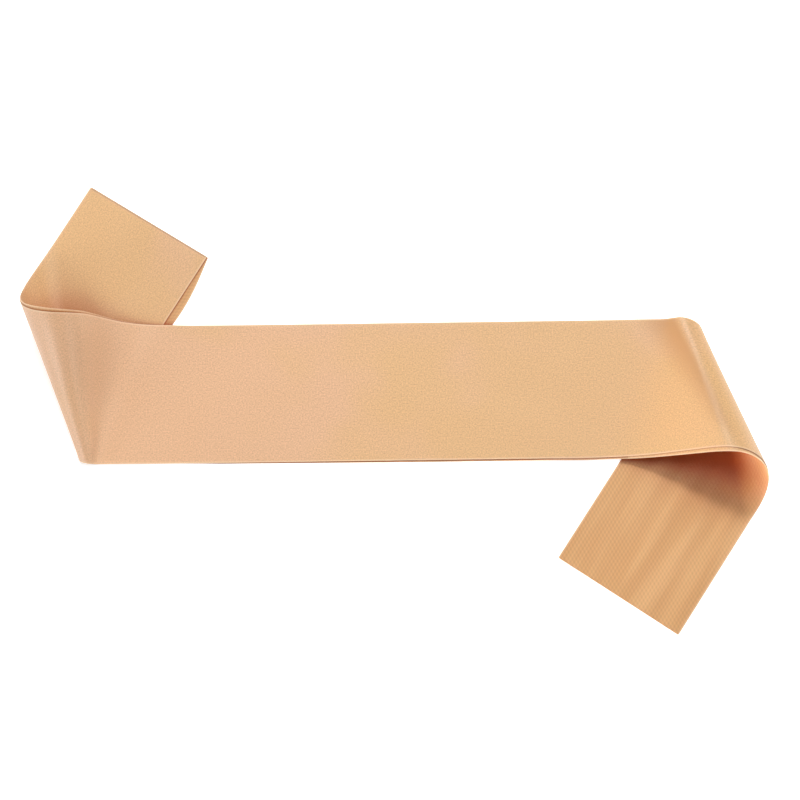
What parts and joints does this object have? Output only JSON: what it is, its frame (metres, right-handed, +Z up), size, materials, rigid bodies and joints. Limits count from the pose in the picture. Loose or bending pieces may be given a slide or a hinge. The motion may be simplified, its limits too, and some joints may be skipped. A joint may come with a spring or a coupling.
{
  "type": "satin sash",
  "caption": "Plain satin sash: a ribbon doubled into two plies and laid out flat, with both ends turned under the long centre stretch to make two tails.",
  "frame": {"origin": "on the surface the sash lies on, under the middle of its bounding box", "axes": "+X along the sash, its longest extent; +Y towards the side the left tail comes out of; +Z up, its shortest extent"},
  "size_m": [0.5042, 0.3092, 0.0478],
  "materials": {
    "satin_face": "cream satin, soft sheen",
    "satin_wrong_side": "wrong side of the satin, dull twill"
  },
  "bodies": {
    "root": {"centre_upper_ply": "satin_face", "centre_lower_ply": "satin_face", "left_fold_outer_ply": "satin_face", "left_fold_inner_ply": "satin_face", "left_tail_upper_ply": "satin_face", "left_tail_lower_ply": "satin_face", "left_tail_end_turn": "satin_face", "right_fold_outer_ply": "satin_face", "right_fold_inner_ply": "satin_wrong_side", "right_tail_upper_ply": "satin_wrong_side", "right_tail_lower_ply": "satin_face"}
  },
  "joints": []
}
